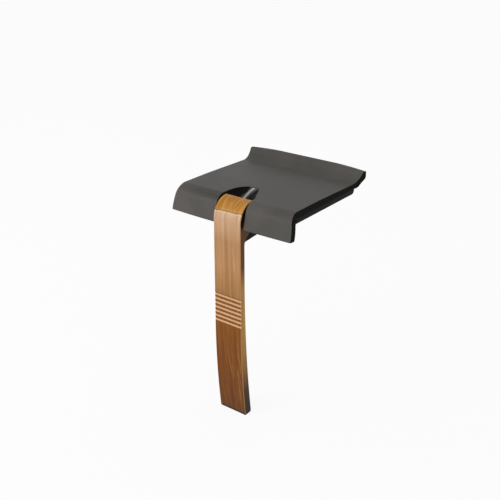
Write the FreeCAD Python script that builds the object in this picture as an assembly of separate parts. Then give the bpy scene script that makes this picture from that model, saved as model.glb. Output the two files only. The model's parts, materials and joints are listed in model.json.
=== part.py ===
import FreeCAD, Part
import math
import os

# Fold down wall seat: a moulded S-curved seat on a steel under-frame, hinged to a wall bracket,
# with one wooden leg that stays upright while the seat folds, led by a stay bar.
#
# Frame: origin at the middle of the four wall screws, on the wall. +X is to the right seen from
# the room, +Y goes into the wall, +Z up. Millimetres.
#
# Profiles are drawn as (out, up): out is the distance from the wall, up the height above the floor.

# Where the seat stands
seat_height = 500.0          # top of the pan above the floor
bolt_drop = 38.0             # pan top down to the middle of the wall screws
seat_reach = 326.0           # wall to the front face of the apron
seat_width = 303.0           # over the lower corners of the apron and the ends of the lip
waist = 8.0                  # the pan's sides lie this much further in
front_flare = 30.0           # depth over which the sides curve out towards the apron's face
back_flare = 50.0            # and towards the back of the lip

# Seat shell
shell_wall = 14.5            # pan thickness
apron_drop = 53.0            # pan top to the apron's lower edge
apron_lean = 14.0            # how far the apron leans back from its lower edge up to the pan
apron_wall = 13.5
apron_nose = 3.0             # rounding of the apron's lower edge, in front
apron_heel = 2.0             # and behind
inner_lean = 9.5             # lean of the apron's inner face
front_bend = 27.0            # outer radius of the front bend
inner_bend = 14.0
pan_flat = 110.0             # apron face to where the pan starts to fall
pan_bend = 400.0             # the soft turn there
valley_out = 65.6            # wall to the lowest line in front of the lip
valley_drop = 3.6
valley_bend = 38.0
lip_front_out = 52.0         # wall to the front edge of the lip's top
lip_back_out = 46.0
lip_rise = 16.8              # top of the lip above the pan, at its ends
lip_slant = 2.0              # the lip's top falls this much to the back
lip_round = 2.2
lip_heel_rise = 2.0          # lower end of the lip's back above the pan
lip_heel_round = 9.0
lip_under_run = 23.0         # from there forward to the level underside
lip_crown = 6.2              # the lip is this much higher in the middle than at its ends
apron_crown = 2.3            # and the apron this much deeper
corner_round = 3.0           # front view corners of apron and lip
edge_round = 1.2

# Notch for the leg and the finger scoop behind it
notch_gap = 3.2              # each side of the leg
scoop_start = 40.0           # apron face to the middle of the scoop
scoop_half = 36.8
scoop_length = 56.0
scoop_depth = 25.0
scoop_turn = 8.0            # degrees, the scoop points a little to the left
scoop_wall = 3.0
facet_back = 75.0            # the scoop's flat right side passes through a point this far
facet_drop = 12.7            # behind the apron's face and this far below the pan
facet_slope = 38.0           # degrees
facet_face = 62.5            # degrees, the way it looks, left of straight ahead

# Under-frame
rail_depth = 11.0
rail_width = 13.0
rail_inset = 1.5             # rail's outer face in from the pan's side
rail_end_gap = 24.0          # hinge axis to the rail's back end
rail_end_round = 8.0
rail_edge = 1.0
front_bar_start = 112.0      # behind the apron face
front_bar_width = 22.0
rear_bar_gap = 40.0          # hinge axis to the rear bar
rear_bar_width = 30.0
frame_screw_inner = 62.0     # middle of the seat to the inner row of screws
frame_screw_inset = 26.0     # and a rail's outer face to the outer row

# Seat hinge on the wall
hinge_out = 54.0             # wall to the hinge axis
hinge_drop = 24.0            # pan top down to the hinge axis
rod_radius = 5.0
knuckle_radius = 10.0
knuckle_length = 22.0
bush_wall = 2.0
leaf_thick = 6.0
leaf_rise = 14.0             # the leaf starts to rise this far behind the rear bar
leaf_fillet = 12.0
leaf_screw_pitch = 13.0
washer_thick = 1.0

# Wall bracket
plate_thick = 5.0
plate_width = 140.0
plate_height = 72.0
plate_corner = 8.0
bolt_spacing_x = 116.0
bolt_spacing_z = 48.0
bolt_hole_radius = 4.25
bolt_head_radius = 8.2
ear_thick = 5.0
ear_top_drop = 35.0          # pan top to the upper edge of the ears, under the swing of the lip
ear_low_drop = 70.0

# Leg
pivot_in = 36.0              # apron face back to the leg's pivot
pivot_drop = 43.0            # pan top down to the pivot
leg_bend = 40.0              # outer radius of the leg's head about its pivot
leg_width_top = 68.5
leg_width_foot = 70.5
leg_thick = 14.0
head_boss = 13.0             # wood round the pivot, behind and below
flare_slope = 40.0           # degrees, back of the head running down into the leg's back
flare_round = 25.0
front_bow_drop = 280.0       # the leg's front is straight down to this far below the pan's top
front_bow = 14.5             # and then sweeps back this far at the foot
back_bow_drop = 174.0
back_bow = 20.8
leg_edge = 1.5
groove_count = 7
groove_pitch = 10.0
groove_drop = 213.0          # pan top to the first groove
groove_width = 5.0
groove_depth = 2.6
pivot_bush_outer = 7.5
pivot_bush_length = 21.0
pivot_flange_radius = 11.0

# Cheeks that hold the leg's pivot pin
cheek_thick = 5.0
cheek_gap = 4.5              # side of the leg to the inner face of a cheek
cheek_front = 12.0           # pivot forward to the cheek's front edge
cheek_shoulder = 12.0        # pivot up to where that edge leans back
cheek_top_back = 4.0         # pivot back to the cheek's upper front corner
cheek_round = 4.0
cheek_tail = 8.0             # depth of the cheek where it runs under the front bar
cheek_waist_back = 44.0      # pivot back to the bend in its lower edge
cheek_waist = 4.0            # and how far that lies below the tail
cheek_sweep = 20.0

# Stay: a bar parallel to the line from hinge to pivot
stay_drop = 53.5             # below hinge and pivot
stay_shift = 13.0            # towards the room from the hinge, and from the pivot
stay_half_width = 8.0
stay_half_depth = 8.5
stay_edge = 1.5
stay_bush_outer = 6.0
stay_pin_radius = 4.0
stay_ear_gap = 2.0           # side of the stay to the ears that carry it
lug_thick = 4.0
lug_rim = 4.5                # metal round the pin's hole
lug_plate_thick = 3.0
lug_plate_half = 28.0
lug_plate_drop = 1.0         # front pin of the stay down to the plate's upper edge
lug_plate_height = 52.0
lug_plate_corner = 4.0
lug_web_rise = 12.0          # lower edge of the plate up to the foot of the ears
lug_screw_x = 20.0
lug_screw_inset = 9.0        # from the plate's upper and lower edges
lug_screw_radius = 2.5
lug_screw_length = 11.0
insert_wall = 1.6
insert_length = 9.0

# Pins and screws
pin_head = 2.5
clip_thick = 1.2
clip_extra = 3.0             # clip and head stand this far beyond the pin's side
clip_groove = 0.8            # depth of the groove in the pin
clip_play = 0.1              # all round the clip in its groove
clip_mouth = 1.3             # width of the clip's mouth, in pin radii
frame_screw_radius = 2.2
frame_screw_head = 4.2
frame_screw_bite = 6.0       # depth in the shell
leaf_screw_bite = 7.0

# Foot
pad_thick = 4.5
pad_inset = 0.4
pad_corner = 2.0

# Fits
run_fit = 0.05               # radial, pin in bush
side_fit = 0.3               # between moving faces
lay_gap = 0.2                # between pieces that lie on each other without touching
past = 5.0                   # how far a cutting shape runs past the face it leaves by

bolt_height = seat_height - bolt_drop


def height(up):
    # Height above the floor to the frame's Z.
    return up - bolt_height


def behind(distance):
    # Distance behind the apron's face to distance out from the wall.
    return seat_reach - distance


hinge = (hinge_out, seat_height - hinge_drop)
pivot = (behind(pivot_in), seat_height - pivot_drop)
stay_wall = (hinge[0] + stay_shift, hinge[1] - stay_drop)
stay_leg = (pivot[0] + stay_shift, pivot[1] - stay_drop)

shell_half = seat_width / 2
pan_half = shell_half - waist
rail_outer = pan_half - rail_inset
rear_bar_start = seat_reach - hinge_out - rear_bar_gap - rear_bar_width
rail_end = seat_reach - hinge_out - rail_end_gap
leg_half_top = leg_width_top / 2
leg_half_foot = leg_width_foot / 2
leg_front = pivot[0] + leg_bend
leg_back = leg_front - leg_thick
under_pan = seat_height - shell_wall
rail_low = under_pan - rail_depth
leaf_low = rail_low - leaf_thick
inner_corner = apron_wall + inner_lean
lug_top = stay_leg[1] - lug_plate_drop
lug_low = lug_top - lug_plate_height
lug_ear_radius = stay_pin_radius + lug_rim

stay_ear_start = stay_half_width + stay_ear_gap
inner_ear_end = stay_ear_start + ear_thick
hinge_gap = washer_thick + 2 * side_fit
knuckle_start = inner_ear_end + hinge_gap
knuckle_end = knuckle_start + knuckle_length
outer_ear_start = knuckle_end + hinge_gap
outer_ear_end = outer_ear_start + ear_thick
cheek_start = leg_half_top + cheek_gap
cheek_end = cheek_start + cheek_thick

os.makedirs("parts", exist_ok=True)


def save(name, shape):
    shape.exportStep("parts/" + name + ".step")


def side_point(x, spot):
    return FreeCAD.Vector(x, -spot[0], height(spot[1]))


def rounded_edges(corners, place):
    # Straight edges between corners (a, b, radius); a radius of None is as large as fits.
    count = len(corners)
    trims = []
    for i in range(count):
        before = corners[i - 1]
        here = corners[i]
        after = corners[(i + 1) % count]
        back = (before[0] - here[0], before[1] - here[1])
        ahead = (after[0] - here[0], after[1] - here[1])
        back_length = math.hypot(*back)
        ahead_length = math.hypot(*ahead)
        back = (back[0] / back_length, back[1] / back_length)
        ahead = (ahead[0] / ahead_length, ahead[1] / ahead_length)
        half = math.acos(max(-1.0, min(1.0, back[0] * ahead[0] + back[1] * ahead[1]))) / 2
        radius = here[2]
        if radius is None:
            radius = min(back_length, ahead_length) * math.tan(half)
        reach = radius / math.tan(half)
        first = (here[0] + back[0] * reach, here[1] + back[1] * reach)
        last = (here[0] + ahead[0] * reach, here[1] + ahead[1] * reach)
        middle = (back[0] + ahead[0], back[1] + ahead[1])
        size = math.hypot(*middle)
        inward = radius / math.sin(half) - radius
        crest = (here[0] + middle[0] / size * inward, here[1] + middle[1] / size * inward)
        trims.append((first, crest, last, radius))
    edges = []
    for i in range(count):
        first, crest, last, radius = trims[i]
        following = trims[(i + 1) % count][0]
        if radius > 0:
            edges.append(Part.Arc(place(first), place(crest), place(last)).toShape())
        if math.dist(last, following) > 1e-4:
            edges.append(Part.LineSegment(place(last), place(following)).toShape())
    return edges


def side_plate(corners, x_start, x_end):
    # A profile seen from the side, (out, up, radius), run from x_start to x_end.
    edges = rounded_edges(corners, lambda spot: side_point(x_start, spot))
    face = Part.Face(Part.Wire(Part.__sortEdges__(edges)))
    return face.extrude(FreeCAD.Vector(x_end - x_start, 0, 0))


def front_plate(corners, out_start, out_end):
    # An outline seen from the front, (x, up, radius), run between two distances from the wall.
    def place(spot):
        return FreeCAD.Vector(spot[0], -out_start, height(spot[1]))
    face = Part.Face(Part.Wire(Part.__sortEdges__(rounded_edges(corners, place))))
    return face.extrude(FreeCAD.Vector(0, out_start - out_end, 0))


def bar(x_start, x_end, out_start, out_end, up_start, up_end):
    low = FreeCAD.Vector(min(x_start, x_end), -max(out_start, out_end), height(min(up_start, up_end)))
    return Part.makeBox(abs(x_end - x_start), abs(out_end - out_start), abs(up_end - up_start), low)


def rod(spot, radius, x_start, x_end):
    base = side_point(min(x_start, x_end), spot)
    return Part.makeCylinder(radius, abs(x_end - x_start), base, FreeCAD.Vector(1, 0, 0))


def tube(spot, outer, inner, x_start, x_end):
    return rod(spot, outer, x_start, x_end).cut(rod(spot, inner, x_start, x_end))


def upright(x, out, up_start, up_end, radius):
    base = FreeCAD.Vector(x, -out, height(up_start))
    return Part.makeCylinder(radius, up_end - up_start, base)


def across(x, up, out_start, out_end, radius):
    # A cylinder square to the wall.
    base = FreeCAD.Vector(x, -max(out_start, out_end), height(up))
    return Part.makeCylinder(radius, abs(out_end - out_start), base, FreeCAD.Vector(0, 1, 0))


def slot_bar(first, second, radius, x_start, x_end):
    # Round-ended bar between two pivots, seen from the side.
    run = (second[0] - first[0], second[1] - first[1])
    length = math.hypot(*run)
    side = (-run[1] / length * radius, run[0] / length * radius)
    ahead = (run[0] / length * radius, run[1] / length * radius)
    spots = [
        (first[0] + side[0] - ahead[0], first[1] + side[1] - ahead[1], radius),
        (second[0] + side[0] + ahead[0], second[1] + side[1] + ahead[1], radius),
        (second[0] - side[0] + ahead[0], second[1] - side[1] + ahead[1], radius),
        (first[0] - side[0] - ahead[0], first[1] - side[1] - ahead[1], radius),
    ]
    return side_plate(spots, x_start, x_end)


# Seat shell

def shell_profile():
    lip_top = seat_height + lip_rise + lip_crown
    apron_low = seat_height - apron_drop - apron_crown
    return [
        (seat_reach, apron_low, apron_nose),
        (seat_reach - apron_lean, seat_height, front_bend),
        (behind(pan_flat), seat_height, pan_bend),
        (valley_out, seat_height - valley_drop, valley_bend),
        (lip_front_out, lip_top, lip_round),
        (lip_back_out, lip_top - lip_slant, lip_round),
        (lip_back_out, seat_height + lip_heel_rise, lip_heel_round),
        (lip_back_out + lip_under_run, under_pan, inner_bend),
        (behind(inner_corner), under_pan, inner_bend),
        (seat_reach - apron_wall, apron_low, apron_heel),
    ]


def waisted_outline():
    # Plan of the shell: straight sides that curve out towards the apron's face and the lip's back.
    front = seat_reach
    back = lip_back_out
    low = seat_height - apron_drop - apron_crown - past
    tall = apron_drop + apron_crown + lip_rise + lip_crown + 2 * past

    def place(x, out):
        return FreeCAD.Vector(x, -out, height(low))

    def flare(side, end, run):
        # Circular arc, tangent to the straight side.
        start = place(side * pan_half, end + run)
        middle = place(side * (pan_half + waist / 4), end + run / 2)
        return Part.Arc(start, middle, place(side * shell_half, end)).toShape()

    edges = []
    for side in (-1, 1):
        edges.append(flare(side, front, -front_flare))
        edges.append(flare(side, back, back_flare))
        edges.append(Part.LineSegment(place(side * pan_half, front - front_flare),
                                      place(side * pan_half, back + back_flare)).toShape())
        edges.append(Part.LineSegment(place(side * shell_half, front),
                                      place(side * shell_half, front + past)).toShape())
        edges.append(Part.LineSegment(place(side * shell_half, back),
                                      place(side * shell_half, back - past)).toShape())
    for out in (front + past, back - past):
        edges.append(Part.LineSegment(place(-shell_half, out), place(shell_half, out)).toShape())
    face = Part.Face(Part.Wire(Part.__sortEdges__(edges)))
    return face.extrude(FreeCAD.Vector(0, 0, tall))


def crowned_outline():
    # Front view of the shell: crowned lower edge of the apron and crowned top of the lip.
    low = seat_height - apron_drop
    top = seat_height + lip_rise
    far = shell_half - corner_round

    def place(x, up):
        return FreeCAD.Vector(x, -seat_reach - past, height(up))

    def corner(x_sign, up, lift):
        turn = corner_round * (1 - math.sqrt(0.5))
        start = place(x_sign * far, up)
        crest = place(x_sign * (shell_half - turn), up + lift * turn)
        end = place(x_sign * shell_half, up + lift * corner_round)
        return Part.Arc(start, crest, end).toShape()

    edges = [
        Part.Arc(place(-far, low), place(0, low - apron_crown), place(far, low)).toShape(),
        corner(1, low, 1),
        Part.LineSegment(place(shell_half, low + corner_round),
                         place(shell_half, top - corner_round)).toShape(),
        corner(1, top, -1),
        Part.Arc(place(far, top), place(0, top + lip_crown), place(-far, top)).toShape(),
        corner(-1, top, -1),
        Part.LineSegment(place(-shell_half, top - corner_round),
                         place(-shell_half, low + corner_round)).toShape(),
        corner(-1, low, 1),
    ]
    face = Part.Face(Part.Wire(Part.__sortEdges__(edges)))
    return face.extrude(FreeCAD.Vector(0, seat_reach, 0))


def scoop_form(grow):
    # Half an ellipsoid below the pan, opening towards the leg.
    ball = Part.makeSphere(1.0)
    size = FreeCAD.Matrix()
    size.scale(scoop_half + grow, scoop_length + grow, scoop_depth + grow)
    ball = ball.transformGeometry(size)
    ball.rotate(FreeCAD.Vector(0, 0, 0), FreeCAD.Vector(0, 0, 1), scoop_turn)
    ball.translate(FreeCAD.Vector(0, -behind(scoop_start), height(seat_height)))
    return ball


def scoop_facet():
    # Block whose sloping upper face is the flat right side of the scoop.
    wide = 2 * scoop_length
    block = Part.makeBox(wide, 2 * wide, wide, FreeCAD.Vector(0, -wide, -wide))
    block.translate(FreeCAD.Vector(-wide / 2, 0, 0))
    block.rotate(FreeCAD.Vector(0, 0, 0), FreeCAD.Vector(1, 0, 0), facet_slope)
    block.rotate(FreeCAD.Vector(0, 0, 0), FreeCAD.Vector(0, 0, 1), -facet_face)
    block.translate(FreeCAD.Vector(0, -behind(facet_back), height(seat_height - facet_drop)))
    return block


def scoop_space(up_end):
    # Keeps only what lies behind the scoop's widest line.
    far = scoop_length + 2 * scoop_wall
    return bar(-shell_half, shell_half, behind(scoop_start), behind(scoop_start + far),
               seat_height - scoop_depth - 2 * scoop_wall, up_end)


def frame_screw_spots():
    spots = []
    outer = rail_outer - frame_screw_inset
    for start, width in ((front_bar_start, front_bar_width), (rear_bar_start, rear_bar_width)):
        for x in (-outer, -frame_screw_inner, frame_screw_inner, outer):
            spots.append((x, behind(start + width / 2)))
    return spots


def seat_shell():
    shell = side_plate(shell_profile(), -shell_half, shell_half).common(waisted_outline())
    rims = []
    for edge in shell.Edges:
        box = edge.BoundBox
        if min(abs(box.XMin), abs(box.XMax)) > pan_half - edge_round:
            if box.XMax - box.XMin < 2 * waist:
                rims.append(edge)
    shell = shell.makeFillet(edge_round, rims)
    shell = shell.common(crowned_outline())
    bowl = scoop_form(scoop_wall).common(scoop_space(seat_height - shell_wall / 2))
    shell = shell.fuse(bowl)
    hollow = scoop_form(0).common(scoop_space(seat_height + scoop_wall)).cut(scoop_facet())
    shell = shell.cut(hollow)
    notch = leg_half_top + notch_gap
    shell = shell.cut(bar(-notch, notch, seat_reach + past, behind(scoop_start), 0,
                          seat_height + past))
    for x, out in frame_screw_spots():
        top = under_pan + frame_screw_bite + lay_gap
        shell = shell.cut(upright(x, out, rail_low, top, frame_screw_radius + run_fit))
    return shell.removeSplitter()


# Under-frame

def side_rail(side):
    # The front end is cut along the chord of the shell's inner bend.
    face_slope = math.atan2(inner_lean, apron_drop + apron_crown - shell_wall)
    reach = inner_bend / math.tan((math.pi / 2 + face_slope) / 2)
    top_start = inner_corner + reach + lay_gap
    low_start = inner_corner - reach * math.sin(face_slope) + lay_gap
    low_start += (reach * math.cos(face_slope) - rail_depth) * math.tan(face_slope)
    outline = [
        (behind(top_start), under_pan, 0),
        (behind(rail_end), under_pan, rail_edge),
        (behind(rail_end), rail_low, rail_end_round),
        (behind(low_start), rail_low, rail_edge),
    ]
    return side_plate(outline, side * rail_outer, side * (rail_outer - rail_width))


def cross_bar(start, width):
    far = rail_outer - rail_width
    shape = bar(-far, far, behind(start), behind(start + width), rail_low, under_pan)
    for x, out in frame_screw_spots():
        shape = shape.cut(upright(x, out, rail_low - past, under_pan + past,
                                  frame_screw_radius + run_fit))
    for x, out in leaf_screw_spots():
        shape = shape.cut(upright(x, out, rail_low - past, rail_low + leaf_screw_bite + lay_gap,
                                  frame_screw_radius + run_fit))
    return shape


def frame_screws():
    screws = []
    for x, out in frame_screw_spots():
        shank = upright(x, out, rail_low, under_pan + frame_screw_bite, frame_screw_radius)
        head = upright(x, out, rail_low - pin_head, rail_low, frame_screw_head)
        screws.append(shank.fuse(head))
    return Part.makeCompound(screws)


def hinge_leaf(side):
    start = side * knuckle_start
    end = side * knuckle_end
    lean = knuckle_radius * math.sqrt(0.5)
    bar_back = behind(rear_bar_start + rear_bar_width)
    outline = [
        (behind(rear_bar_start), rail_low, rail_edge),
        (bar_back - leaf_rise, rail_low, leaf_thick / 2),
        (hinge[0] + lean, hinge[1] + lean, 0),
        (hinge[0], hinge[1], 0),
        (hinge[0] + rail_edge, hinge[1] - knuckle_radius + clip_play, 0),
        (bar_back, leaf_low, leaf_fillet),
        (behind(rear_bar_start), leaf_low, 2 * rail_edge),
    ]
    leaf = side_plate(outline, start, end)
    leaf = leaf.fuse(rod(hinge, knuckle_radius, start, end))
    leaf = leaf.cut(rod(hinge, rod_radius + bush_wall, start - side, end + side))
    for x, out in leaf_screw_spots():
        leaf = leaf.cut(upright(x, out, leaf_low - past, rail_low + past,
                                frame_screw_radius + run_fit))
    return leaf.removeSplitter()


def leaf_screw_spots():
    middle = (knuckle_start + knuckle_end) / 2
    bar_middle = behind(rear_bar_start + rear_bar_width / 2)
    spots = []
    for side in (-1, 1):
        for shift in (leaf_screw_pitch / 2, -leaf_screw_pitch / 2):
            spots.append((side * middle, bar_middle + shift))
    return spots


def leaf_screws():
    screws = []
    for x, out in leaf_screw_spots():
        shank = upright(x, out, leaf_low, rail_low + leaf_screw_bite, frame_screw_radius)
        head = upright(x, out, leaf_low - pin_head, leaf_low, frame_screw_head)
        screws.append(shank.fuse(head))
    return Part.makeCompound(screws)


def hinge_bush(side):
    return tube(hinge, rod_radius + bush_wall, rod_radius + run_fit,
                side * knuckle_start, side * knuckle_end)


def thrust_washer(x_start, side):
    first = side * (x_start + side_fit)
    outer = knuckle_radius - washer_thick / 2
    return tube(hinge, outer, rod_radius + run_fit, first, first + side * washer_thick)


def thrust_washers():
    washers = []
    for side in (-1, 1):
        washers.append(thrust_washer(inner_ear_end, side))
        washers.append(thrust_washer(knuckle_end, side))
    return Part.makeCompound(washers)


def pivot_cheek(side):
    bar_front = behind(front_bar_start)
    bar_back = behind(front_bar_start + front_bar_width)
    tail_low = rail_low - cheek_tail
    slope = math.radians(60)
    outline = [
        (pivot[0] + cheek_front, pivot[1], 0),
        (pivot[0] + cheek_front, pivot[1] + cheek_shoulder, cheek_round),
        (pivot[0] - cheek_top_back, under_pan - lay_gap, cheek_round),
        (bar_front + lay_gap, under_pan - lay_gap, 0),
        (bar_front + lay_gap, rail_low, 0),
        (bar_back, rail_low, 0),
        (bar_back, tail_low, cheek_round),
        (pivot[0] - cheek_waist_back, tail_low - cheek_waist, cheek_sweep),
        (pivot[0] - head_boss * math.cos(slope), pivot[1] - head_boss * math.sin(slope), 0),
        (pivot[0], pivot[1], 0),
    ]
    cheek = side_plate(outline, side * cheek_start, side * cheek_end)
    cheek = cheek.fuse(rod(pivot, head_boss, side * cheek_start, side * cheek_end))
    cheek = cheek.cut(rod(pivot, rod_radius, side * (cheek_start - past), side * (cheek_end + past)))
    return cheek.removeSplitter()


# Pins: a head at the left end, a spring clip in a groove at the right end

def headed_pin(spot, radius, x_half):
    pin = rod(spot, radius, -x_half, x_half + 3 * clip_thick)
    pin = pin.fuse(rod(spot, radius + clip_extra, -x_half - pin_head, -x_half))
    groove = tube(spot, radius + clip_extra, radius - clip_groove, x_half + lay_gap,
                  x_half + lay_gap + clip_thick)
    return pin.cut(groove)


def pin_clip(spot, radius, x_half):
    start = x_half + lay_gap + clip_play
    end = start + clip_thick - 2 * clip_play
    clip = tube(spot, radius + clip_extra, radius - clip_groove + clip_play, start, end)
    mouth = radius * clip_mouth
    opening = bar(start - past, end + past, spot[0] - mouth / 2, spot[0] + mouth / 2,
                  spot[1] - radius - clip_extra - past, spot[1])
    return clip.cut(opening)


# Wall bracket

def wall_ear(x_start, x_end):
    ear = slot_bar(hinge, stay_wall, knuckle_radius, x_start, x_end)
    root = plate_thick / 2
    web = [
        (root, seat_height - ear_top_drop, 0),
        (hinge[0] + knuckle_radius / 2, seat_height - ear_top_drop, 0),
        (stay_wall[0], stay_wall[1], 0),
        (stay_wall[0], stay_wall[1] - knuckle_radius + clip_play, 0),
        (root, seat_height - ear_low_drop, 0),
    ]
    return ear.fuse(side_plate(web, x_start, x_end))


def wall_bracket():
    half = plate_width / 2
    low = bolt_height - plate_height / 2
    top = bolt_height + plate_height / 2
    corners = [(-half, low, plate_corner), (half, low, plate_corner),
               (half, top, plate_corner), (-half, top, plate_corner)]
    bracket = front_plate(corners, 0, plate_thick)
    for side in (-1, 1):
        bracket = bracket.fuse(wall_ear(side * stay_ear_start, side * inner_ear_end))
        bracket = bracket.fuse(wall_ear(side * outer_ear_start, side * outer_ear_end))
    bracket = bracket.cut(rod(hinge, rod_radius, -half, half))
    bracket = bracket.cut(rod(stay_wall, stay_pin_radius, -inner_ear_end - past,
                              inner_ear_end + past))
    sink = bolt_head_radius - bolt_hole_radius
    for x in (-bolt_spacing_x / 2, bolt_spacing_x / 2):
        for up in (bolt_height - bolt_spacing_z / 2, bolt_height + bolt_spacing_z / 2):
            bracket = bracket.cut(across(x, up, -past, plate_thick + past, bolt_hole_radius))
            cone = Part.makeCone(bolt_head_radius, bolt_hole_radius, sink,
                                 FreeCAD.Vector(x, -plate_thick, height(up)),
                                 FreeCAD.Vector(0, 1, 0))
            bracket = bracket.cut(cone)
    return bracket.removeSplitter()


# Stay

def stay_bar():
    shape = slot_bar(stay_wall, stay_leg, stay_half_depth, -stay_half_width, stay_half_width)
    long_edges = []
    for edge in shape.Edges:
        if abs(edge.BoundBox.XMax - edge.BoundBox.XMin) < 1e-6:
            long_edges.append(edge)
    shape = shape.makeFillet(stay_edge, long_edges)
    for spot in (stay_wall, stay_leg):
        shape = shape.cut(rod(spot, stay_bush_outer, -stay_half_width - past,
                              stay_half_width + past))
    return shape


def stay_bushes():
    far = stay_ear_start - side_fit
    bushes = []
    for spot in (stay_wall, stay_leg):
        bushes.append(tube(spot, stay_bush_outer, stay_pin_radius + run_fit, -far, far))
    return Part.makeCompound(bushes)


# Leg

def leg_profile():
    top = pivot[1] + leg_bend
    slope = math.radians(flare_slope)
    touch = (pivot[0] - head_boss * math.sin(slope), pivot[1] - head_boss * math.cos(slope))
    meet = touch[1] - (leg_back - touch[0]) * math.tan(slope)
    boss_corner = touch[1] + (touch[0] - (pivot[0] - head_boss)) * math.tan(slope)
    return [
        (leg_front, top, leg_bend),
        (pivot[0], top, 0),
        (pivot[0], pivot[1] + head_boss, 0),
        (pivot[0] - head_boss, pivot[1] + head_boss, head_boss),
        (pivot[0] - head_boss, boss_corner, head_boss),
        (leg_back, meet, flare_round),
        (leg_back, (seat_height - back_bow_drop) / 2, None),
        (leg_back - back_bow, 0, 0),
        (leg_front - front_bow, 0, 0),
        (leg_front, (seat_height - front_bow_drop) / 2, None),
    ]


def leg_taper():
    # Front view: a little wider at the foot than at the head.
    top = seat_height
    grow = (leg_half_foot - leg_half_top) / pivot[1]
    half = leg_half_top - grow * (top - pivot[1])
    corners = [(-leg_half_foot, 0, 0), (leg_half_foot, 0, 0), (half, top, 0), (-half, top, 0)]
    return front_plate(corners, 0, seat_reach + leg_bend)


def groove(up):
    # V groove across the front face.
    front = leg_front + groove_depth
    half = groove_width
    corners = [(front, up + half, 0), (leg_front - groove_depth, up, 0), (front, up - half, 0)]
    return side_plate(corners, -leg_width_foot, leg_width_foot)


def lug_screw_spots():
    spots = []
    for x in (-lug_screw_x, lug_screw_x):
        for up in (lug_low + lug_screw_inset, lug_top - lug_screw_inset):
            spots.append((x, up))
    return spots


def leg_board():
    leg = side_plate(leg_profile(), -leg_width_foot, leg_width_foot)
    leg = leg.common(leg_taper())
    leg = leg.cut(bar(-leg_width_foot, leg_width_foot, 0, seat_reach + leg_bend, -past, pad_thick))
    arrises = []
    for edge in leg.Edges:
        box = edge.BoundBox
        away = min(abs(box.XMin), abs(box.XMax))
        if away > leg_half_top - leg_edge and box.ZMax - box.ZMin > 2 * leg_edge:
            arrises.append(edge)
    leg = leg.makeFillet(leg_edge, arrises)
    for i in range(groove_count):
        leg = leg.cut(groove(seat_height - groove_drop - i * groove_pitch))
    leg = leg.cut(rod(pivot, pivot_bush_outer, -leg_width_top, leg_width_top))
    for x, up in lug_screw_spots():
        leg = leg.cut(across(x, up, leg_back - past, leg_back + insert_length + 2 * lay_gap,
                             lug_screw_radius + insert_wall))
    return leg


def pivot_bush(side):
    inside = side * (leg_half_top - pivot_bush_length)
    face = side * (leg_half_top + lay_gap)
    bush = tube(pivot, pivot_bush_outer, rod_radius + run_fit, inside, face)
    rim = tube(pivot, pivot_flange_radius, rod_radius + run_fit, face,
               side * (cheek_start - side_fit))
    return bush.fuse(rim)


def foot_pad():
    half = leg_half_foot - pad_inset
    front = leg_front - front_bow + pad_inset
    back = leg_back - back_bow + 2 * pad_inset
    pad = bar(-half, half, front, back, 0, pad_thick)
    upright_edges = []
    for edge in pad.Edges:
        if edge.BoundBox.ZMax - edge.BoundBox.ZMin > pad_thick / 2:
            upright_edges.append(edge)
    return pad.makeFillet(pad_corner, upright_edges)


def stay_lug():
    # Plate on the back of the leg with two ears for the stay's front pin.
    corners = [(-lug_plate_half, lug_low, lug_plate_corner),
               (lug_plate_half, lug_low, lug_plate_corner),
               (lug_plate_half, lug_top, lug_plate_corner),
               (-lug_plate_half, lug_top, lug_plate_corner)]
    lug = front_plate(corners, leg_back, leg_back - lug_plate_thick)
    root = leg_back - lug_plate_thick / 2
    slope = math.radians(37)
    for side in (-1, 1):
        start = side * stay_ear_start
        end = side * (stay_ear_start + lug_thick)
        web = [
            (root, lug_low + lug_web_rise, 0),
            (root, lug_top, 0),
            (stay_leg[0], stay_leg[1] + lug_ear_radius - clip_play, 0),
            (stay_leg[0] - lug_ear_radius * math.cos(slope),
             stay_leg[1] - lug_ear_radius * math.sin(slope), 0),
        ]
        lug = lug.fuse(side_plate(web, start, end))
        lug = lug.fuse(rod(stay_leg, lug_ear_radius, start, end))
    far = stay_ear_start + lug_thick + past
    lug = lug.cut(rod(stay_leg, stay_pin_radius, -far, far))
    for x, up in lug_screw_spots():
        lug = lug.cut(across(x, up, leg_back - lug_plate_thick - past, leg_back + past,
                             lug_screw_radius + run_fit))
    return lug.removeSplitter()


def lug_screws():
    face = leg_back - lug_plate_thick
    screws = []
    for x, up in lug_screw_spots():
        shank = across(x, up, face, face + lug_screw_length, lug_screw_radius)
        head = across(x, up, face - pin_head, face, 2 * lug_screw_radius)
        screws.append(shank.fuse(head))
    return Part.makeCompound(screws)


def lug_inserts():
    sleeves = []
    for x, up in lug_screw_spots():
        sleeve = across(x, up, leg_back, leg_back + insert_length, lug_screw_radius + insert_wall)
        bore = across(x, up, leg_back - past, leg_back + insert_length + past,
                      lug_screw_radius + run_fit)
        sleeves.append(sleeve.cut(bore))
    return Part.makeCompound(sleeves)


save("wall_bracket", wall_bracket())
save("hinge_rod", headed_pin(hinge, rod_radius, outer_ear_end + lay_gap))
save("hinge_rod_clip", pin_clip(hinge, rod_radius, outer_ear_end + lay_gap))
save("stay_wall_pin", headed_pin(stay_wall, stay_pin_radius, inner_ear_end + lay_gap))
save("stay_wall_clip", pin_clip(stay_wall, stay_pin_radius, inner_ear_end + lay_gap))
save("thrust_washers", thrust_washers())

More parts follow.
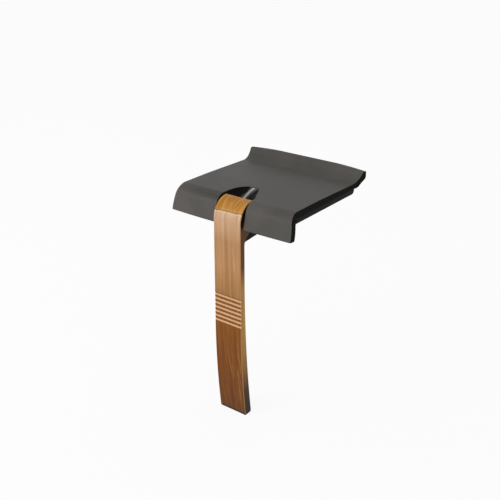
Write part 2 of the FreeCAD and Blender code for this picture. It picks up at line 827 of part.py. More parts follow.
save("seat_shell", seat_shell())
save("front_cross_bar", cross_bar(front_bar_start, front_bar_width))
save("rear_cross_bar", cross_bar(rear_bar_start, rear_bar_width))
save("shell_screws", frame_screws())
save("leaf_screws", leaf_screws())
for hand, side in (("left", -1), ("right", 1)):
    save("side_rail_" + hand, side_rail(side))
    save("hinge_leaf_" + hand, hinge_leaf(side))
    save("hinge_bush_" + hand, hinge_bush(side))
    save("pivot_cheek_" + hand, pivot_cheek(side))
    save("pivot_bush_" + hand, pivot_bush(side))
save("pivot_pin", headed_pin(pivot, rod_radius, cheek_end + lay_gap))
save("pivot_pin_clip", pin_clip(pivot, rod_radius, cheek_end + lay_gap))

save("leg_board", leg_board())
save("foot_pad", foot_pad())
save("stay_lug", stay_lug())
save("lug_screws", lug_screws())
save("lug_inserts", lug_inserts())
save("stay_leg_pin", headed_pin(stay_leg, stay_pin_radius, stay_ear_start + lug_thick + lay_gap))
save("stay_leg_clip", pin_clip(stay_leg, stay_pin_radius, stay_ear_start + lug_thick + lay_gap))

save("stay_bar", stay_bar())
save("stay_bushes", stay_bushes())
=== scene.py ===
import bpy, bmesh, json, math
from mathutils import Vector, Matrix


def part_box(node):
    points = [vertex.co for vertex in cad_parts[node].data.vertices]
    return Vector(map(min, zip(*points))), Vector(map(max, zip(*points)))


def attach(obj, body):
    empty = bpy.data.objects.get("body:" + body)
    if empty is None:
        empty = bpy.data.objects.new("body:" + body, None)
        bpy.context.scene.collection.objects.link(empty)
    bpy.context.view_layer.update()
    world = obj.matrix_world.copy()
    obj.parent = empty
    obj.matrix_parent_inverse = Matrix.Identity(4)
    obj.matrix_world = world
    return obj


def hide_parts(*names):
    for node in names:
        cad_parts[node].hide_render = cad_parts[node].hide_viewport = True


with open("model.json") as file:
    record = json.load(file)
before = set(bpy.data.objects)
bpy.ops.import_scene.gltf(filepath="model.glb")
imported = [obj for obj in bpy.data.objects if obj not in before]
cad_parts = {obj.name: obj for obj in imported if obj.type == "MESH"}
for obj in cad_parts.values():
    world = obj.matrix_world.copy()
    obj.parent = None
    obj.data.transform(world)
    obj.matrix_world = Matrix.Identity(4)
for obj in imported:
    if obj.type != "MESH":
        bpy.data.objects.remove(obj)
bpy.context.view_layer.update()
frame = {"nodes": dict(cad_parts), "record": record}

nodes = frame["nodes"]
scene = bpy.context.scene
slotOf = {s["node"]: s["material_slot"] for s in frame["record"]["subparts"]}
bodyOf = {n: body for body, members in frame["record"]["behaviour"]["bodies"].items() for n in members}
print("frame loaded:", len(nodes), "nodes")

# Camera at the photograph's angle; the focal length is in pixels of a 500 pixel wide picture
photo = {"wide": 500, "focal": 813.94, "azimuth": 37.265, "elevation": 23.964,
         "place": (0.94705, -1.49836, 0.60102), "sensor": 36, "reach": 60}

def addCamera():
    data = bpy.data.cameras.new("photoCamera")
    data.sensor_width = photo["sensor"]
    data.lens = photo["focal"] / photo["wide"] * photo["sensor"]
    data.clip_end = photo["reach"]
    camera = bpy.data.objects.new("photoCamera", data)
    camera.location = photo["place"]
    camera.rotation_euler = (math.radians(90 - photo["elevation"]), 0, math.radians(photo["azimuth"]))
    scene.collection.objects.link(camera)
    scene.camera = camera

addCamera()

# Small helpers for the node trees; a value may be a number, a colour or another node's output
class Tree:
    def __init__(self, tree):
        self.tree = tree

    def add(self, kind, **settings):
        node = self.tree.nodes.new("ShaderNode" + kind)
        for key, value in settings.items():
            setattr(node, key, value)
        return node

    def join(self, source, target):
        self.tree.links.new(source, target)

    def feed(self, node, index, value):
        if hasattr(value, "is_linked"):
            self.join(value, node.inputs[index])
        else:
            node.inputs[index].default_value = value

    def math(self, operation, *values):
        node = self.add("Math", operation=operation)
        for index, value in enumerate(values):
            self.feed(node, index, value)
        return node.outputs[0]

    def plus(self, a, b):
        return self.math("ADD", a, b)

    def minus(self, a, b):
        return self.math("SUBTRACT", a, b)

    def absolute(self, value):
        return self.math("ABSOLUTE", value)

    def times(self, first, *others):
        for other in others:
            first = self.math("MULTIPLY", first, other)
        return first

    def dot(self, vector, direction):
        node = self.add("VectorMath", operation="DOT_PRODUCT")
        self.join(vector, node.inputs[0])
        node.inputs[1].default_value = direction
        return node.outputs["Value"]

    def coords(self, kind="Object"):
        return self.add("TexCoord").outputs[kind]

    def split(self, vector):
        node = self.add("SeparateXYZ")
        self.join(vector, node.inputs[0])
        return node.outputs

    def mapped(self, vector, scale, turn=(0, 0, 0)):
        node = self.add("Mapping")
        self.join(vector, node.inputs["Vector"])
        node.inputs["Scale"].default_value = scale
        node.inputs["Rotation"].default_value = [math.radians(t) for t in turn]
        return node.outputs[0]

    def noise(self, vector, scale=1.0, detail=2.0, rough=0.5, twist=0.0):
        node = self.add("TexNoise")
        self.join(vector, node.inputs["Vector"])
        node.inputs["Scale"].default_value = scale
        node.inputs["Detail"].default_value = detail
        node.inputs["Roughness"].default_value = rough
        node.inputs["Distortion"].default_value = twist
        return node.outputs["Fac"]

    def between(self, value, low, high, a=0.0, b=1.0, curve="LINEAR"):
        node = self.add("MapRange", clamp=True, interpolation_type=curve)
        for index, number in enumerate((value, low, high, a, b)):
            self.feed(node, index, number)
        return node.outputs[0]

    def near(self, value, place, inner, outer, most=1.0):
        return self.between(self.absolute(self.minus(value, place)), inner, outer, most, 0)

    def blend(self, share, a, b, way="MIX"):
        node = self.add("Mix", data_type="RGBA", blend_type=way)
        self.feed(node, 0, share)
        for index, color in ((6, a), (7, b)):
            self.feed(node, index, color if hasattr(color, "is_linked") else (*color, 1))
        return node.outputs[2]

    def ramp(self, value, stops):
        node = self.add("ValToRGB")
        self.join(value, node.inputs[0])
        band = node.color_ramp
        while len(band.elements) < len(stops):
            band.elements.new(0.5)
        for element, (place, color) in zip(band.elements, stops):
            element.position = place
            element.color = (*color, 1)
        return node.outputs[0]

    def bump(self, height, depth, strength=1.0, under=None):
        node = self.add("Bump")
        node.inputs["Strength"].default_value = strength
        node.inputs["Distance"].default_value = depth
        self.join(height, node.inputs["Height"])
        if under:
            self.join(under, node.inputs["Normal"])
        return node.outputs[0]

    def seen(self):     # 1 where the backdrop shows directly, in a gloss or through glass
        path = self.add("LightPath")
        direct = self.math("MAXIMUM", path.outputs["Is Camera Ray"], path.outputs["Is Glossy Ray"])
        return self.math("MAXIMUM", direct, path.outputs["Is Transmission Ray"])

class Finish(Tree):
    def __init__(self, name, **sockets):
        self.material = bpy.data.materials.new(name)
        self.material.use_nodes = True
        super().__init__(self.material.node_tree)
        self.tree.nodes.clear()
        self.out = self.add("OutputMaterial")
        self.shader = self.add("BsdfPrincipled")
        self.join(self.shader.outputs[0], self.out.inputs[0])
        for socket, value in sockets.items():
            self.shader.inputs[socket.replace("_", " ")].default_value = value

    def mottled(self, value, look, low=0.3, high=0.7):
        return self.blend(self.between(value, low, high), look["dark"], look["light"])

    def roughened(self, value, look, low=0.3, high=0.7):
        return self.between(value, low, high, *look["rough"])

    def made(self, color, rough, normal):
        for name, source in (("Base Color", color), ("Roughness", rough), ("Normal", normal)):
            self.join(source, self.shader.inputs[name])
        return self.material

# Satin anthracite moulding: fine pebbled grain, faint clouds from the mould
moulding = {"dark": (0.060, 0.055, 0.050), "light": (0.079, 0.073, 0.067), "rough": (0.46, 0.60),
            "speck": (0.10, 0.096, 0.090), "clouds": 9, "specks": 900, "pebbles": 620, "pebbleDepth": 0.00006,
            "waves": 14, "waveDepth": 0.0012}

# The crease in the finger scoop, with a painted highlight streak beside it and a painted shade line on it: offset
# is its plane's distance from the origin, in metres
crease = {"direction": (-0.546, -0.284, 0.788), "offset": 0.0912, "halfWidth": 0.036, "front": -0.290,
          "top": (0.0350, 0.0362), "bottom": (0.012, 0.018),
          "streakAt": 0.0022, "driftFrom": -0.279, "drift": 0.08, "creaseHighlight": (0.0006, 0.0026),
          "paintedHighlightColor": (0.52, 0.51, 0.49), "paintedHighlightShare": 0.9,
          "facet": (0.00015, 0.0006), "paintedShadeColor": (0.016, 0.015, 0.013), "paintedShadeShare": 0.62}

def creaseWithPaintedLight(t, place, color):
    x, y, z = t.split(place)
    off = t.minus(t.dot(place, crease["direction"]), crease["offset"])
    drift = t.times(t.minus(y, crease["driftFrom"]), crease["drift"])
    # painted highlight: a pale streak beside the crease, drifting along the scoop
    creaseHighlight = t.near(t.minus(off, drift), crease["streakAt"], *crease["creaseHighlight"])
    # painted shade: a thin dark line along the crease
    facet = t.near(off, 0.0, *crease["facet"])
    inside = t.times(t.between(z, *crease["top"], 1, 0), t.between(z, *crease["bottom"]),
                     t.math("LESS_THAN", t.absolute(x), crease["halfWidth"]),
                     t.math("GREATER_THAN", y, crease["front"]))
    color = t.blend(t.times(creaseHighlight, inside, crease["paintedHighlightShare"]), color, crease["paintedHighlightColor"])
    return t.blend(t.times(facet, inside, crease["paintedShadeShare"]), color, crease["paintedShadeColor"])

def satinMoulding():
    t = Finish("satinMoulding", Specular_IOR_Level=0.16)
    place = t.coords()
    clouds = t.noise(place, moulding["clouds"], 4, 0.55, 0.6)
    specks = t.noise(place, moulding["specks"], 2)
    color = t.mottled(clouds, moulding, 0.35, 0.68)
    color = t.blend(t.between(specks, 0.62, 0.74, 0, 0.35), color, moulding["speck"])
    color = creaseWithPaintedLight(t, place, color)
    rough = t.roughened(t.plus(t.times(clouds, 0.6), t.times(specks, 0.4)), moulding, 0.35, 0.65)
    pebbles = t.add("TexVoronoi", feature="SMOOTH_F1")
    t.join(place, pebbles.inputs["Vector"])
    pebbles.inputs["Scale"].default_value = moulding["pebbles"]
    pebbles.inputs["Smoothness"].default_value = 0.8
    wave = t.bump(t.noise(place, moulding["waves"], 2), moulding["waveDepth"], 0.35)
    return t.made(color, rough, t.bump(pebbles.outputs["Distance"], moulding["pebbleDepth"], 0.8, wave))

# Near black, matt finish for the moulding's faces that face sideways
nearBlack = {"dark": (0.007, 0.007, 0.006), "light": (0.014, 0.014, 0.012), "rough": (0.66, 0.82),
           "streaks": (200, 90, 600), "streakDepth": 0.00005}

def nearBlackEnds():
    t = Finish("nearBlackEnds", Specular_IOR_Level=0.03)
    streaks = t.noise(t.mapped(t.coords(), nearBlack["streaks"]), 1, 3)
    return t.made(t.mottled(streaks, nearBlack, 0.35), t.roughened(streaks, nearBlack),
                  t.bump(streaks, nearBlack["streakDepth"], 0.5))

# Lacquered wood of the leg: places in metres, tones from the foot up, grain in repeats per metre. The tones are
# partly the wood's own and partly painted light: paler near the head, darker down towards the foot
leg = {"pivotY": -0.290, "pivotZ": -0.005, "headRadius": 0.040, "foot": -0.466, "top": 0.060,
       "slantBelow": -0.245, "slant": 0.085, "tones": [
           (0.000, (0.130, 0.042, 0.004)), (0.080, (0.162, 0.052, 0.005)), (0.220, (0.172, 0.052, 0.004)),
           (0.360, (0.205, 0.067, 0.007)), (0.435, (0.215, 0.074, 0.010)), (0.550, (0.235, 0.092, 0.022)),
           (0.568, (0.340, 0.168, 0.060)), (0.680, (0.440, 0.238, 0.105)), (0.790, (0.430, 0.236, 0.110)),
           (0.840, (0.510, 0.310, 0.172)), (0.905, (0.575, 0.380, 0.245))]}

woodGrain = {"bands": (88, 50, 3.0), "bandTint": (0.62, 0.50, 0.42),
             "glow": (150, 90, 5.0), "glowLean": 1.5, "glowTint": (0.54, 0.30, 0.09),
             "flame": (1, 0.6, 0.14), "flames": 21, "flameTint": (0.58, 0.42, 0.31),
             "streaks": (620, 420, 12), "streakTint": (0.66, 0.50, 0.38),
             "pores": (2600, 1800, 95), "poreTint": (0.12, 0.055, 0.022),
             "rough": (0.30, 0.42), "poreDepth": 0.00004}

# Metres up the front face and on over the round head, and the distance out from the pivot
def unrolled(t, ahead, z):
    above = t.minus(z, leg["pivotZ"])
    onHead = t.math("GREATER_THAN", above, 0.0)
    below = t.minus(1.0, onHead)
    arc = t.plus(t.times(t.math("ARCTAN2", above, ahead), leg["headRadius"]), leg["pivotZ"])
    reach = t.math("SQRT", t.plus(t.times(above, above), t.times(ahead, ahead)))
    return (t.plus(t.times(onHead, arc), t.times(below, z)),
            t.plus(t.times(onHead, reach), t.times(below, ahead)))

# Soft bands, glow and flames over the tone, then fine streaks and pores
def grainTone(t, grain, across, along, share):
    g = woodGrain
    # painted light: the tone ramp is paler near the head and darker towards the foot
    tone = t.ramp(share, leg["tones"])
    bands = t.noise(t.mapped(grain, g["bands"]), 1, 2, 0.5, 0.5)
    tone = t.blend(t.between(bands, 0.40, 0.72, 0, 0.62), tone, g["bandTint"], "MULTIPLY")
    glow = t.noise(t.mapped(grain, g["glow"], (0, g["glowLean"], 0)), 1, 3, 0.55, 0.8)
    glowing = t.times(t.between(glow, 0.52, 0.72, 0, 0.34), t.between(across, -0.012, 0.014, 0.30, 1.35))
    tone = t.blend(glowing, tone, g["glowTint"], "SCREEN")
    flame = t.add("TexWave", wave_type="BANDS", bands_direction="X")
    t.join(t.mapped(grain, g["flame"]), flame.inputs["Vector"])
    flame.inputs["Scale"].default_value = g["flames"]
    flame.inputs["Distortion"].default_value = 7
    flame.inputs["Detail"].default_value = 2.5
    flame.inputs["Detail Scale"].default_value = 1.4
    flamed = t.times(t.between(flame.outputs["Fac"], 0.45, 1.0), t.between(along, -0.30, -0.20, 0.42, 0.12))
    tone = t.blend(flamed, tone, g["flameTint"], "MULTIPLY")
    streaks = t.noise(t.mapped(grain, g["streaks"]), 1, 3, 0.6)
    tone = t.blend(t.between(streaks, 0.42, 0.66, 0, 0.26), tone, g["streakTint"], "MULTIPLY")
    pores = t.between(t.noise(t.mapped(grain, g["pores"]), 1, 1), 0.64, 0.70)
    tone = t.blend(t.times(pores, 0.45), tone, g["poreTint"])
    return tone, bands, streaks, pores

# Golden band over the head; it ends in a dark vein with a pale line below
headBand = {"edge": 0.0150, "tilt": 0.045, "ragged": (85, 0, 0), "raggedBy": 0.0085,
            "grain": (170, 90, 22), "grainLean": 28, "light": (0.50, 0.255, 0.062), "gold": (0.37, 0.155, 0.018),
            "streakTint": (0.55, 0.36, 0.20), "vein": (0.10, 0.040, 0.012),
            "line": (0.78, 0.50, 0.26), "lineBelow": 0.0026}

def bandedHead(t, tone, grain, along, x, streaks):
    h = headBand
    ragged = t.noise(t.mapped(grain, h["ragged"]), 1, 4, 0.7)
    edge = t.plus(along, t.times(t.minus(ragged, 0.5), h["raggedBy"]))
    edge = t.minus(t.minus(edge, t.times(x, h["tilt"])), h["edge"])
    goldGrain = t.noise(t.mapped(grain, h["grain"], (0, h["grainLean"], 0)), 1, 3, 0.6, 1.0)
    gold = t.blend(t.between(goldGrain, 0.36, 0.60), h["light"], h["gold"])
    gold = t.blend(t.between(streaks, 0.5, 0.7, 0, 0.35), gold, h["streakTint"], "MULTIPLY")
    tone = t.blend(t.between(edge, -0.0004, 0.0006), tone, gold)
    vein = t.times(t.near(edge, 0.0, 0.0002, 0.0011, 0.92), t.between(ragged, 0.28, 0.50, 0.35, 1.0))
    tone = t.blend(vein, tone, h["vein"])
    return t.blend(t.near(edge, -h["lineBelow"], 0.0004, 0.0012, 0.5), tone, h["line"])

# The sides show the board's edge grain; their tones multiply the wood's, from the foot up, as painted shade: near
# black at the foot and under the seat, lighter in between
boardSide = {"tint": (0.62, 0.34, 0.11), "arris": (0.66, 0.40, 0.18), "tones": [
    (0.00, (0.05, 0.05, 0.06)), (0.13, (0.18, 0.16, 0.15)), (0.25, (0.95, 0.95, 0.85)),
    (0.46, (1.0, 1.0, 0.80)), (0.60, (0.92, 0.86, 0.74)), (0.70, (0.28, 0.16, 0.05)),
    (0.84, (0.20, 0.13, 0.07)), (0.875, (0.04, 0.03, 0.02))]}

def sidesWithPaintedShade(t, tone, along, share, sideways, side):
    sideGrainAndShade = t.blend(t.between(along, -0.33, -0.26, 0.35, 0.6), tone, boardSide["tint"])
    # painted shade: the side ramp darkens the foot and the part under the seat
    sideGrainAndShade = t.blend(1.0, sideGrainAndShade, t.ramp(share, boardSide["tones"]), "MULTIPLY")
    tone = t.blend(side, tone, sideGrainAndShade)
    # painted highlight: a pale line along the rounded arrises, stronger lower down
    arris = t.times(t.between(sideways, 0.25, 0.55), t.between(sideways, 0.85, 0.97, 1, 0),
                    t.between(along, -0.17, -0.12, 0.65, 0.15))
    return t.blend(arris, tone, boardSide["arris"])

# The seven grooves: painted shade under each land and on the flat floors, painted light on the flanks that face up
grooves = {"from": -0.240, "to": -0.170, "fade": 0.002, "floor": (0.0325, 0.0332), "rim": (0.0350, 0.0357),
           "underShadeTint": (0.085, 0.032, 0.010), "floorShadeTint": (0.075, 0.028, 0.008), "flankLightTint": (0.84, 0.52, 0.29)}

def groovedFront(t, tone, along, ahead, upward, side):
    g = grooves
    grooved = t.times(t.between(along, g["from"], g["from"] + g["fade"]),
                      t.between(along, g["to"] - g["fade"], g["to"], 1, 0))
    # painted shade on the flanks that face down, under each land
    under = t.times(grooved, t.between(upward, -0.70, -0.25, 0.90, 0))
    tone = t.blend(under, tone, g["underShadeTint"])
    # painted shade on the grooves' flat floors
    floorShade = t.times(grooved, t.between(ahead, *g["rim"], 0.92, 0), t.between(ahead, *g["floor"]),
                   t.between(upward, 0.25, 0.55, 1, 0), t.minus(1.0, side))
    tone = t.blend(floorShade, tone, g["floorShadeTint"])
    # painted light on the flanks that face up
    flankLight = t.times(grooved, t.between(upward, 0.40, 0.75, 0, 0.85))
    return t.blend(flankLight, tone, g["flankLightTint"])

def lacqueredWood():
    t = Finish("lacqueredWood", Specular_IOR_Level=0.09, Coat_Weight=0.05, Coat_Roughness=0.14)
    x, y, z = t.split(t.coords())
    ahead = t.minus(leg["pivotY"], y)
    along, depth = unrolled(t, ahead, z)
    slanted = t.math("MINIMUM", t.minus(along, leg["slantBelow"]), 0.0)
    across = t.plus(x, t.times(slanted, leg["slant"]))
    grain = t.add("CombineXYZ")
    for index, source in enumerate((across, depth, along)):
        t.join(source, grain.inputs[index])
    grain = grain.outputs[0]
    share = t.between(along, leg["foot"], leg["top"])
    facing = t.split(t.coords("Normal"))
    sideways = t.absolute(facing[0])
    side = t.between(sideways, 0.80, 0.97)
    tone, bands, streaks, pores = grainTone(t, grain, across, along, share)
    tone = bandedHead(t, tone, grain, along, x, streaks)
    tone = sidesWithPaintedShade(t, tone, along, share, sideways, side)
    tone = groovedFront(t, tone, along, ahead, facing[2], side)
    rough = t.roughened(t.plus(t.times(streaks, 0.6), t.times(bands, 0.4)), woodGrain, 0.35, 0.65)
    height = t.minus(t.times(streaks, 0.5), pores)
    return t.made(tone, rough, t.bump(height, woodGrain["poreDepth"], 0.5))

# Powder coat: orange peel with a faint fleck
paint = {"dark": (0.008, 0.008, 0.007), "light": (0.014, 0.014, 0.013), "rough": (0.40, 0.56),
         "peel": 480, "peelDepth": 0.00008, "flecks": 2400, "fleck": (0.06, 0.06, 0.056), "handling": 35}

def powderCoat():
    t = Finish("powderCoat", Specular_IOR_Level=0.04)
    place = t.coords()
    peel = t.noise(place, paint["peel"], 2)
    color = t.mottled(peel, paint, 0.35)
    flecks = t.between(t.noise(place, paint["flecks"], 1), 0.66, 0.72, 0, 0.5)
    return t.made(t.blend(flecks, color, paint["fleck"]), t.roughened(t.noise(place, paint["handling"], 3), paint),
                  t.bump(peel, paint["peelDepth"], 0.7))

# Stainless pins, clips and screws: turned marks run round the part
stainless = {"dark": (0.48, 0.48, 0.47), "light": (0.62, 0.62, 0.61), "rough": (0.20, 0.36),
             "marks": (3200, 260, 260), "markDepth": 0.00002, "smears": 120}

def turnedStainless():
    t = Finish("turnedStainless", Metallic=1.0)
    place = t.coords()
    marks = t.noise(t.mapped(place, stainless["marks"]), 1, 2)
    return t.made(t.mottled(t.noise(place, stainless["smears"], 3), stainless), t.roughened(marks, stainless),
                  t.bump(marks, stainless["markDepth"], 0.5))

acetal = {"dark": (0.022, 0.022, 0.023), "light": (0.034, 0.034, 0.035), "rough": (0.34, 0.48),
          "haze": 160, "marks": (1500, 300, 300), "markDepth": 0.00002}

def acetalBush():
    t = Finish("acetalBush", Specular_IOR_Level=0.45)
    place = t.coords()
    haze = t.noise(place, acetal["haze"], 3)
    marks = t.noise(t.mapped(place, acetal["marks"]), 1, 2)
    return t.made(t.mottled(haze, acetal), t.roughened(haze, acetal), t.bump(marks, acetal["markDepth"], 0.4))

brass = {"dark": (0.52, 0.34, 0.12), "light": (0.70, 0.50, 0.22), "rough": (0.26, 0.46),
         "dull": 240, "knurls": (1800, 400, 1800), "knurlDepth": 0.00005}

def knurledBrass():
    t = Finish("knurledBrass", Metallic=1.0)
    place = t.coords()
    dull = t.noise(place, brass["dull"], 3)
    knurls = t.noise(t.mapped(place, brass["knurls"]), 1, 1)
    return t.made(t.mottled(dull, brass), t.roughened(dull, brass), t.bump(knurls, brass["knurlDepth"], 0.6))

rubber = {"dark": (0.012, 0.011, 0.010), "light": (0.030, 0.027, 0.024), "rough": (0.62, 0.80),
          "dust": 300, "dustDepth": 0.00008}

def footRubber():
    t = Finish("footRubber", Specular_IOR_Level=0.25)
    dust = t.noise(t.coords(), rubber["dust"], 4, 0.6)
    return t.made(t.mottled(dust, rubber, 0.45, 0.75), t.roughened(dust, rubber), t.bump(dust, rubber["dustDepth"], 0.6))

finishes = {"shell": satinMoulding(), "wood": lacqueredWood(), "frame_paint": powderCoat(),
            "stainless": turnedStainless(), "bush": acetalBush(), "insert_brass": knurledBrass(),
            "foot_rubber": footRubber()}
for name, obj in nodes.items():
    obj.data.materials.clear()
    obj.data.materials.append(finishes[slotOf[name]])
print("finishes made:", len(finishes))

# Metal, plastic and rubber parts: merged copies of the nodes with broken corners, widths in metres
cornerWidths = {
    "wall_bracket": 0.0005, "side_rail_left": 0.0004, "side_rail_right": 0.0004, "front_cross_bar": 0.0004,
    "rear_cross_bar": 0.0004, "hinge_leaf_left": 0.0005, "hinge_leaf_right": 0.0005,
    "pivot_cheek_left": 0.0005, "pivot_cheek_right": 0.0005, "stay_lug": 0.0004, "hinge_rod": 0.0006,
    "pivot_pin": 0.0006, "stay_wall_pin": 0.0005, "stay_leg_pin": 0.0005, "hinge_rod_clip": 0.0002,
    "pivot_pin_clip": 0.0002, "stay_wall_clip": 0.0002, "stay_leg_clip": 0.0002, "thrust_washers": 0.00015,
    "foot_pad": 0.0006}
mending = {"merge": 0.00001, "flatAngle": 0.6, "cornerAngle": 35, "cornerSteps": 2}   # metres and degrees

def mergedCopy(nodeName):
    bm = bmesh.new()
    bm.from_mesh(nodes[nodeName].data)
    bmesh.ops.remove_doubles(bm, verts=bm.verts, dist=mending["merge"])
    bmesh.ops.dissolve_limit(bm, angle_limit=math.radians(mending["flatAngle"]), verts=bm.verts, edges=bm.edges)
    return bm

def placePiece(bm, name, nodeName, cornerWidth=0.0):
    mesh = bpy.data.meshes.new(name)
    for face in bm.faces:
        face.smooth = True
    bm.to_mesh(mesh)
    bm.free()
    obj = bpy.data.objects.new(name, mesh)
    scene.collection.objects.link(obj)
    mesh.materials.append(finishes[slotOf[nodeName]])
    if cornerWidth:
        corners = obj.modifiers.new("brokenCorners", "BEVEL")
        corners.width = cornerWidth
        corners.segments = mending["cornerSteps"]
        corners.limit_method = "ANGLE"
        corners.angle_limit = math.radians(mending["cornerAngle"])
        corners.use_clamp_overlap = True
    shading = obj.modifiers.new("evenShading", "WEIGHTED_NORMAL")
    shading.keep_sharp = True
    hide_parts(nodeName)
    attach(obj, bodyOf[nodeName])
    return obj

def camelName(nodeName):
    first, *rest = nodeName.split("_")
    return first + "".join(word.title() for word in rest)

for nodeName, width in cornerWidths.items():
    placePiece(mergedCopy(nodeName), camelName(nodeName), nodeName, width)
print("corners broken on", len(cornerWidths), "parts")

# The moulding: its apron's ends widen downwards, and its end faces are near black and matt.
# panHalf, widens, face and flareRun are the node's own; low to high is the height of the widening
apron = {"panHalf": 0.1435, "widens": 0.008, "face": 0.326, "flareRun": 0.030, "low": -0.015, "high": 0.035,
         "from": 0.286, "run": 0.016, "still": 0.060, "cuts": 10, "sharpAngle": 32, "endFacing": 0.45}

def seatMoulding():
    bm = mergedCopy("seat_shell")
    a = apron
    tall = a["high"] - a["low"]
    for step in range(a["cuts"]):
        level = a["low"] + tall * (step + 0.5) / a["cuts"]
        near = [f for f in bm.faces if min(v.co.y for v in f.verts) < -a["from"]]
        parts = near + list({e for f in near for e in f.edges}) + list({v for f in near for v in f.verts})
        bmesh.ops.bisect_plane(bm, geom=parts, dist=mending["merge"], plane_co=(0, 0, level), plane_no=(0, 0, 1))
    for vert in bm.verts:
        out = -vert.co.y
        if out < a["from"] or abs(vert.co.x) < a["still"]:
            continue
        curve = max(0.0, (out - a["face"] + a["flareRun"]) / a["flareRun"])
        now = a["panHalf"] + a["widens"] * curve ** 2
        share = 1 - ((min(max(vert.co.z, a["low"]), a["high"]) - a["low"]) / tall) ** 2
        wanted = a["panHalf"] + a["widens"] * share * min(1.0, (out - a["from"]) / a["run"])
        stretched = a["still"] + (abs(vert.co.x) - a["still"]) * (wanted - a["still"]) / (now - a["still"])
        vert.co.x = math.copysign(stretched, vert.co.x)
    bm.normal_update()
    obj = placePiece(bm, "seatMoulding", "seat_shell")
    obj.data.set_sharp_from_angle(angle=math.radians(a["sharpAngle"]))
    obj.data.materials.append(nearBlackEnds())
    for face in obj.data.polygons:
        if abs(face.normal.x) > a["endFacing"]:
            face.material_index = 1

seatMoulding()
print("moulding shaped")

# Socket screws, each modelled again in its own place: headHigh in metres, dome and socketDepth as
# shares of the head's height, the others as shares of its radius. Rows: axis, head at the low end
screw = {"sides": 32, "headHigh": 0.0025, "dome": 0.45, "domeSteps": 4, "shank": 0.5, "land": 0.28,
         "socket": 0.52, "socketDepth": 0.62, "sharpAngle": 40,
         "rows": {"shell_screws": (2, True), "leaf_screws": (2, True), "lug_screws": (1, False)}}

def looseParts(bm):
    left = set(bm.verts)
    while left:
        part = {left.pop()}
        edge = list(part)
        while edge:
            vert = edge.pop()
            for link in vert.link_edges:
                other = link.other_vert(vert)
                if other not in part:
                    part.add(other)
                    edge.append(other)
        left -= part
        yield part

# Leaves the first face behind only where it closes the shape
def extrudeFace(bm, face, rise, keepFace=False):
    grown = bmesh.ops.extrude_face_region(bm, geom=[face])["geom"]
    moved = next(g for g in grown if isinstance(g, bmesh.types.BMFace))
    bmesh.ops.translate(bm, verts=moved.verts, vec=(0, 0, rise))
    if not keepFace:
        bmesh.ops.delete(bm, geom=[face], context="FACES")
    return moved

# The head stands on the origin's plane with its socket upwards, the shank below
def screwBody(headRadius, length):
    high = screw["headHigh"]
    bm = bmesh.new()
    bmesh.ops.create_circle(bm, cap_ends=True, segments=screw["sides"], radius=headRadius)
    top = extrudeFace(bm, bm.faces[:][0], high, keepFace=True)
    bmesh.ops.bevel(bm, geom=list(top.edges), offset=high * screw["dome"], offset_type="OFFSET",
                    segments=screw["domeSteps"], profile=0.5, affect="EDGES", material=-1, clamp_overlap=True)
    top = max(bm.faces, key=lambda f: (f.calc_center_median().z, f.calc_area()))
    bmesh.ops.inset_region(bm, faces=[top], thickness=headRadius * screw["land"], use_even_offset=True)
    for vert in top.verts:      # the round rim becomes a hexagon
        turn = math.atan2(vert.co.y, vert.co.x)
        local = (turn % (math.pi / 3)) - math.pi / 6
        reach = headRadius * screw["socket"] * math.cos(math.pi / 6) / math.cos(local)
        vert.co.x = reach * math.cos(turn)
        vert.co.y = reach * math.sin(turn)
    extrudeFace(bm, top, -high * screw["socketDepth"])
    base = min(bm.faces, key=lambda f: f.calc_center_median().z)
    bmesh.ops.inset_region(bm, faces=[base], thickness=headRadius * (1 - screw["shank"]), use_even_offset=True)
    extrudeFace(bm, base, high - length)
    bmesh.ops.recalc_face_normals(bm, faces=bm.faces)
    return bm

def addScrew(target, low, high, axis, headAtLow):
    size = high - low
    bm = screwBody(size[(axis + 1) % 3] / 2, size[axis])
    out = Vector((0, 0, 0))
    out[axis] = -1 if headAtLow else 1
    turn = Vector((0, 0, 1)).rotation_difference(out).to_matrix().to_4x4()
    seat = (low + high) / 2
    seat[axis] = low[axis] + screw["headHigh"] if headAtLow else high[axis] - screw["headHigh"]
    bmesh.ops.transform(bm, matrix=Matrix.Translation(seat) @ turn, verts=bm.verts)
    spare = bpy.data.meshes.new("screwSpare")
    bm.to_mesh(spare)
    bm.free()
    target.from_mesh(spare)
    bpy.data.meshes.remove(spare)

def rebuildScrews(nodeName, axis, headAtLow):
    source = bmesh.new()
    source.from_mesh(nodes[nodeName].data)
    bmesh.ops.remove_doubles(source, verts=source.verts, dist=mending["merge"])
    target = bmesh.new()
    for part in looseParts(source):
        low = Vector([min(v.co[i] for v in part) for i in range(3)])
        high = Vector([max(v.co[i] for v in part) for i in range(3)])
        addScrew(target, low, high, axis, headAtLow)
    source.free()
    obj = placePiece(target, camelName(nodeName), nodeName)
    obj.data.set_sharp_from_angle(angle=math.radians(screw["sharpAngle"]))

for nodeName, (axis, headAtLow) in screw["rows"].items():
    rebuildScrews(nodeName, axis, headAtLow)
print("screws rebuilt")

# Pale floor; glow is how much of it shows as plain white, so a faint shadow is left
stage = {"half": 14, "color": (0.9, 0.9, 0.9, 1), "glow": 0.9}

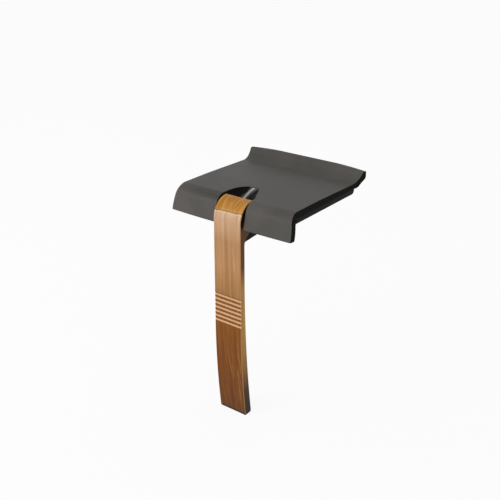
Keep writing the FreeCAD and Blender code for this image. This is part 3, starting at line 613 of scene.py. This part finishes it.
def addStage():
    bm = bmesh.new()
    bmesh.ops.create_grid(bm, x_segments=1, y_segments=1, size=stage["half"])
    mesh = bpy.data.meshes.new("floor")
    bm.to_mesh(mesh)
    bm.free()
    floor = bpy.data.objects.new("floor", mesh)
    floor.location.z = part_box("foot_pad")[0][2]
    scene.collection.objects.link(floor)
    t = Finish("paleFloor", Roughness=0.9, Base_Color=stage["color"])
    glow = t.add("Emission")
    mix = t.add("MixShader")
    t.join(t.times(t.seen(), stage["glow"]), mix.inputs[0])
    t.join(t.shader.outputs[0], mix.inputs[1])
    t.join(glow.outputs[0], mix.inputs[2])
    t.join(mix.outputs[0], t.out.inputs[0])
    floor.data.materials.append(t.material)

addStage()
print("floor laid")

# Soft room light, weaker from the right and from above; lamps as (place, size, watts)
studio = {"room": 0.92, "rightSide": 0.70, "overhead": 0.62, "aim": (0, -0.2, -0.05), "lamps": {
    "key": ((-1.9, -3.4, 1.4), 2.2, 80), "back": ((-1.6, 2.2, 0.6), 0.8, 0.4)}}

def addRoomLight():
    world = bpy.data.worlds.new("studio")
    scene.world = world
    world.use_nodes = True
    t = Tree(world.node_tree)
    room = t.tree.nodes["Background"]
    white = t.add("Background")
    for background in (room, white):
        background.inputs["Color"].default_value = (1, 1, 1, 1)
    direction = t.split(t.coords("Generated"))
    sideways = t.between(direction[0], -0.1, 0.8, studio["room"], studio["rightSide"], "SMOOTHSTEP")
    upwards = t.between(direction[2], 0.25, 0.95, 1.0, studio["overhead"])
    t.join(t.times(sideways, upwards), room.inputs["Strength"])
    mix = t.add("MixShader")
    t.join(t.seen(), mix.inputs[0])
    t.join(room.outputs[0], mix.inputs[1])
    t.join(white.outputs[0], mix.inputs[2])
    t.join(mix.outputs[0], t.tree.nodes["World Output"].inputs[0])

def addLamps():
    for name, (place, size, power) in studio["lamps"].items():
        data = bpy.data.lights.new(name, "AREA")
        data.size = size
        data.energy = power
        lamp = bpy.data.objects.new(name, data)
        lamp.location = place
        lamp.rotation_euler = (Vector(studio["aim"]) - Vector(place)).to_track_quat("-Z", "Y").to_euler()
        scene.collection.objects.link(lamp)

addRoomLight()
addLamps()
print("studio lit")
scene.view_settings.view_transform = "Standard"
print("scene ready")
